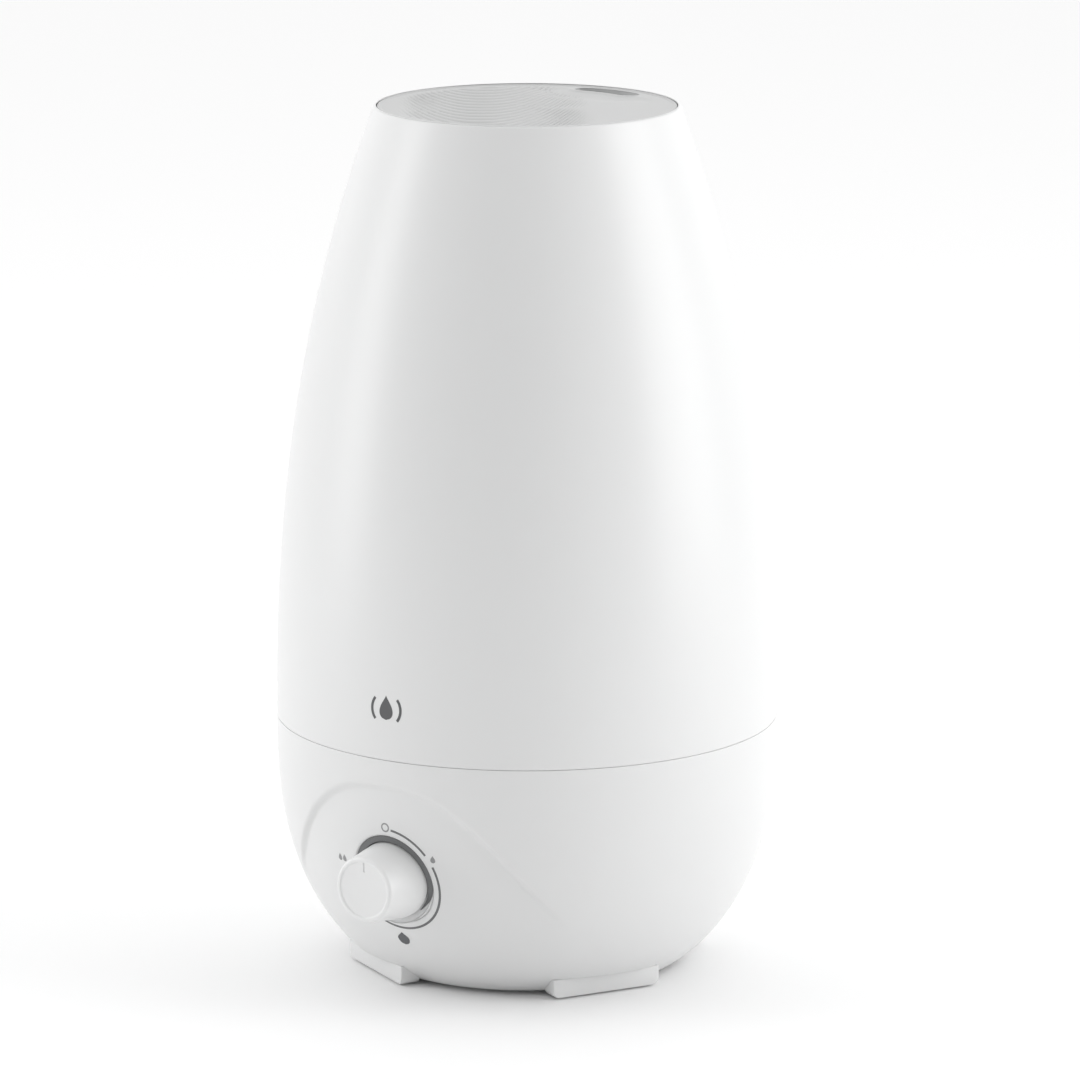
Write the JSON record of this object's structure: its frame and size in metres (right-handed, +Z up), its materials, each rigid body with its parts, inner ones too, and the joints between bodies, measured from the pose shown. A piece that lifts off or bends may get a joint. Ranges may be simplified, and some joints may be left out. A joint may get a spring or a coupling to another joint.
{
  "type": "cool mist humidifier",
  "caption": "Egg-shaped white cool mist humidifier: lift-off top-fill tank with a cover and rear mist slot, on a base with a front control knob, water basin, transducer and fan.",
  "frame": {"origin": "centre of the bottom plate's flat underside, on the body's axis; the feet reach 1.6 mm lower", "axes": "+Z up along the body's axis, -Y to the front where the control knob is, +X to the right seen from the front"},
  "size_m": [0.17, 0.18, 0.2931],
  "materials": {
    "white_shell": "satin white moulded plastic",
    "cover_plastic": "matte white moulded plastic, finely textured",
    "knob_plastic": "satin white moulded plastic",
    "inner_plastic": "plain white moulded plastic",
    "grey_plastic": "grey moulded plastic",
    "black_plastic": "black moulded plastic",
    "dark_lens": "dark grey indicator lens",
    "clear_plastic": "clear resin",
    "pad_rubber": "dark grey rubber",
    "silicone": "white silicone rubber",
    "steel": "plated steel",
    "aluminium": "plain aluminium",
    "circuit_board": "green solder mask"
  },
  "bodies": {
    "base": {"base_housing": "white_shell", "bottom_plate": "inner_plastic", "foot_pad_1": "pad_rubber", "foot_pad_2": "pad_rubber", "foot_pad_3": "pad_rubber", "foot_pad_4": "pad_rubber", "water_basin": "inner_plastic", "transducer_holder": "aluminium", "transducer_disc": "steel", "transducer_seal": "silicone", "fan_frame": "black_plastic", "float_retainer": "grey_plastic", "driver_board": "circuit_board", "heat_sink": "aluminium", "potentiometer": "steel", "potentiometer_nut": "steel", "indicator_led": "clear_plastic", "indicator_lens": "dark_lens", "power_inlet": "black_plastic", "plate_screw_1": "steel", "plate_screw_2": "steel", "plate_screw_3": "steel", "plate_screw_4": "steel", "fan_screw_1": "steel", "fan_screw_2": "steel", "board_screw_1": "steel", "board_screw_2": "steel", "holder_screw_1": "steel", "holder_screw_2": "steel", "holder_screw_3": "steel"},
    "knob": {"control_knob": "knob_plastic", "knob_shaft": "aluminium"},
    "fan": {"fan_impeller": "black_plastic"},
    "float": {"float_ring": "inner_plastic"},
    "tank": {"tank_shell": "white_shell", "tank_floor": "inner_plastic", "mist_duct": "inner_plastic", "duct_seal": "silicone", "valve_cage": "grey_plastic", "valve_spring": "steel"},
    "valve": {"valve_plunger": "grey_plastic", "valve_seal": "silicone"},
    "lid": {"top_cover": "cover_plastic", "mist_outlet": "cover_plastic", "lid_seal": "silicone"}
  },
  "joints": [
    {"name": "knob_turn", "type": "hinge", "parent": "base", "child": "knob", "pos_m": [0, -0.076, 0.0417], "axis": [0, 1, 0], "range_deg": [0, 280]},
    {"name": "fan_spin", "type": "hinge", "parent": "base", "child": "fan", "pos_m": [-0.02, 0, 0.009], "axis": [0, 0, 1], "continuous": true},
    {"name": "float_rise", "type": "slide", "parent": "base", "child": "float", "axis": [0, 0, 1], "range_m": [0, 0.008]},
    {"name": "tank_lift", "type": "slide", "parent": "base", "child": "tank", "axis": [0, 0, 1], "range_m": [0, 0.13]},
    {"name": "valve_lift", "type": "slide", "parent": "tank", "child": "valve", "axis": [0, 0, 1], "range_m": [0, 0.004], "stiffness_N_per_m": 80, "springref_m": -0.004, "deforming": ["valve_spring"]},
    {"name": "lid_lift", "type": "slide", "parent": "tank", "child": "lid", "axis": [0, 0, 1], "range_m": [0, 0.07]}
  ]
}
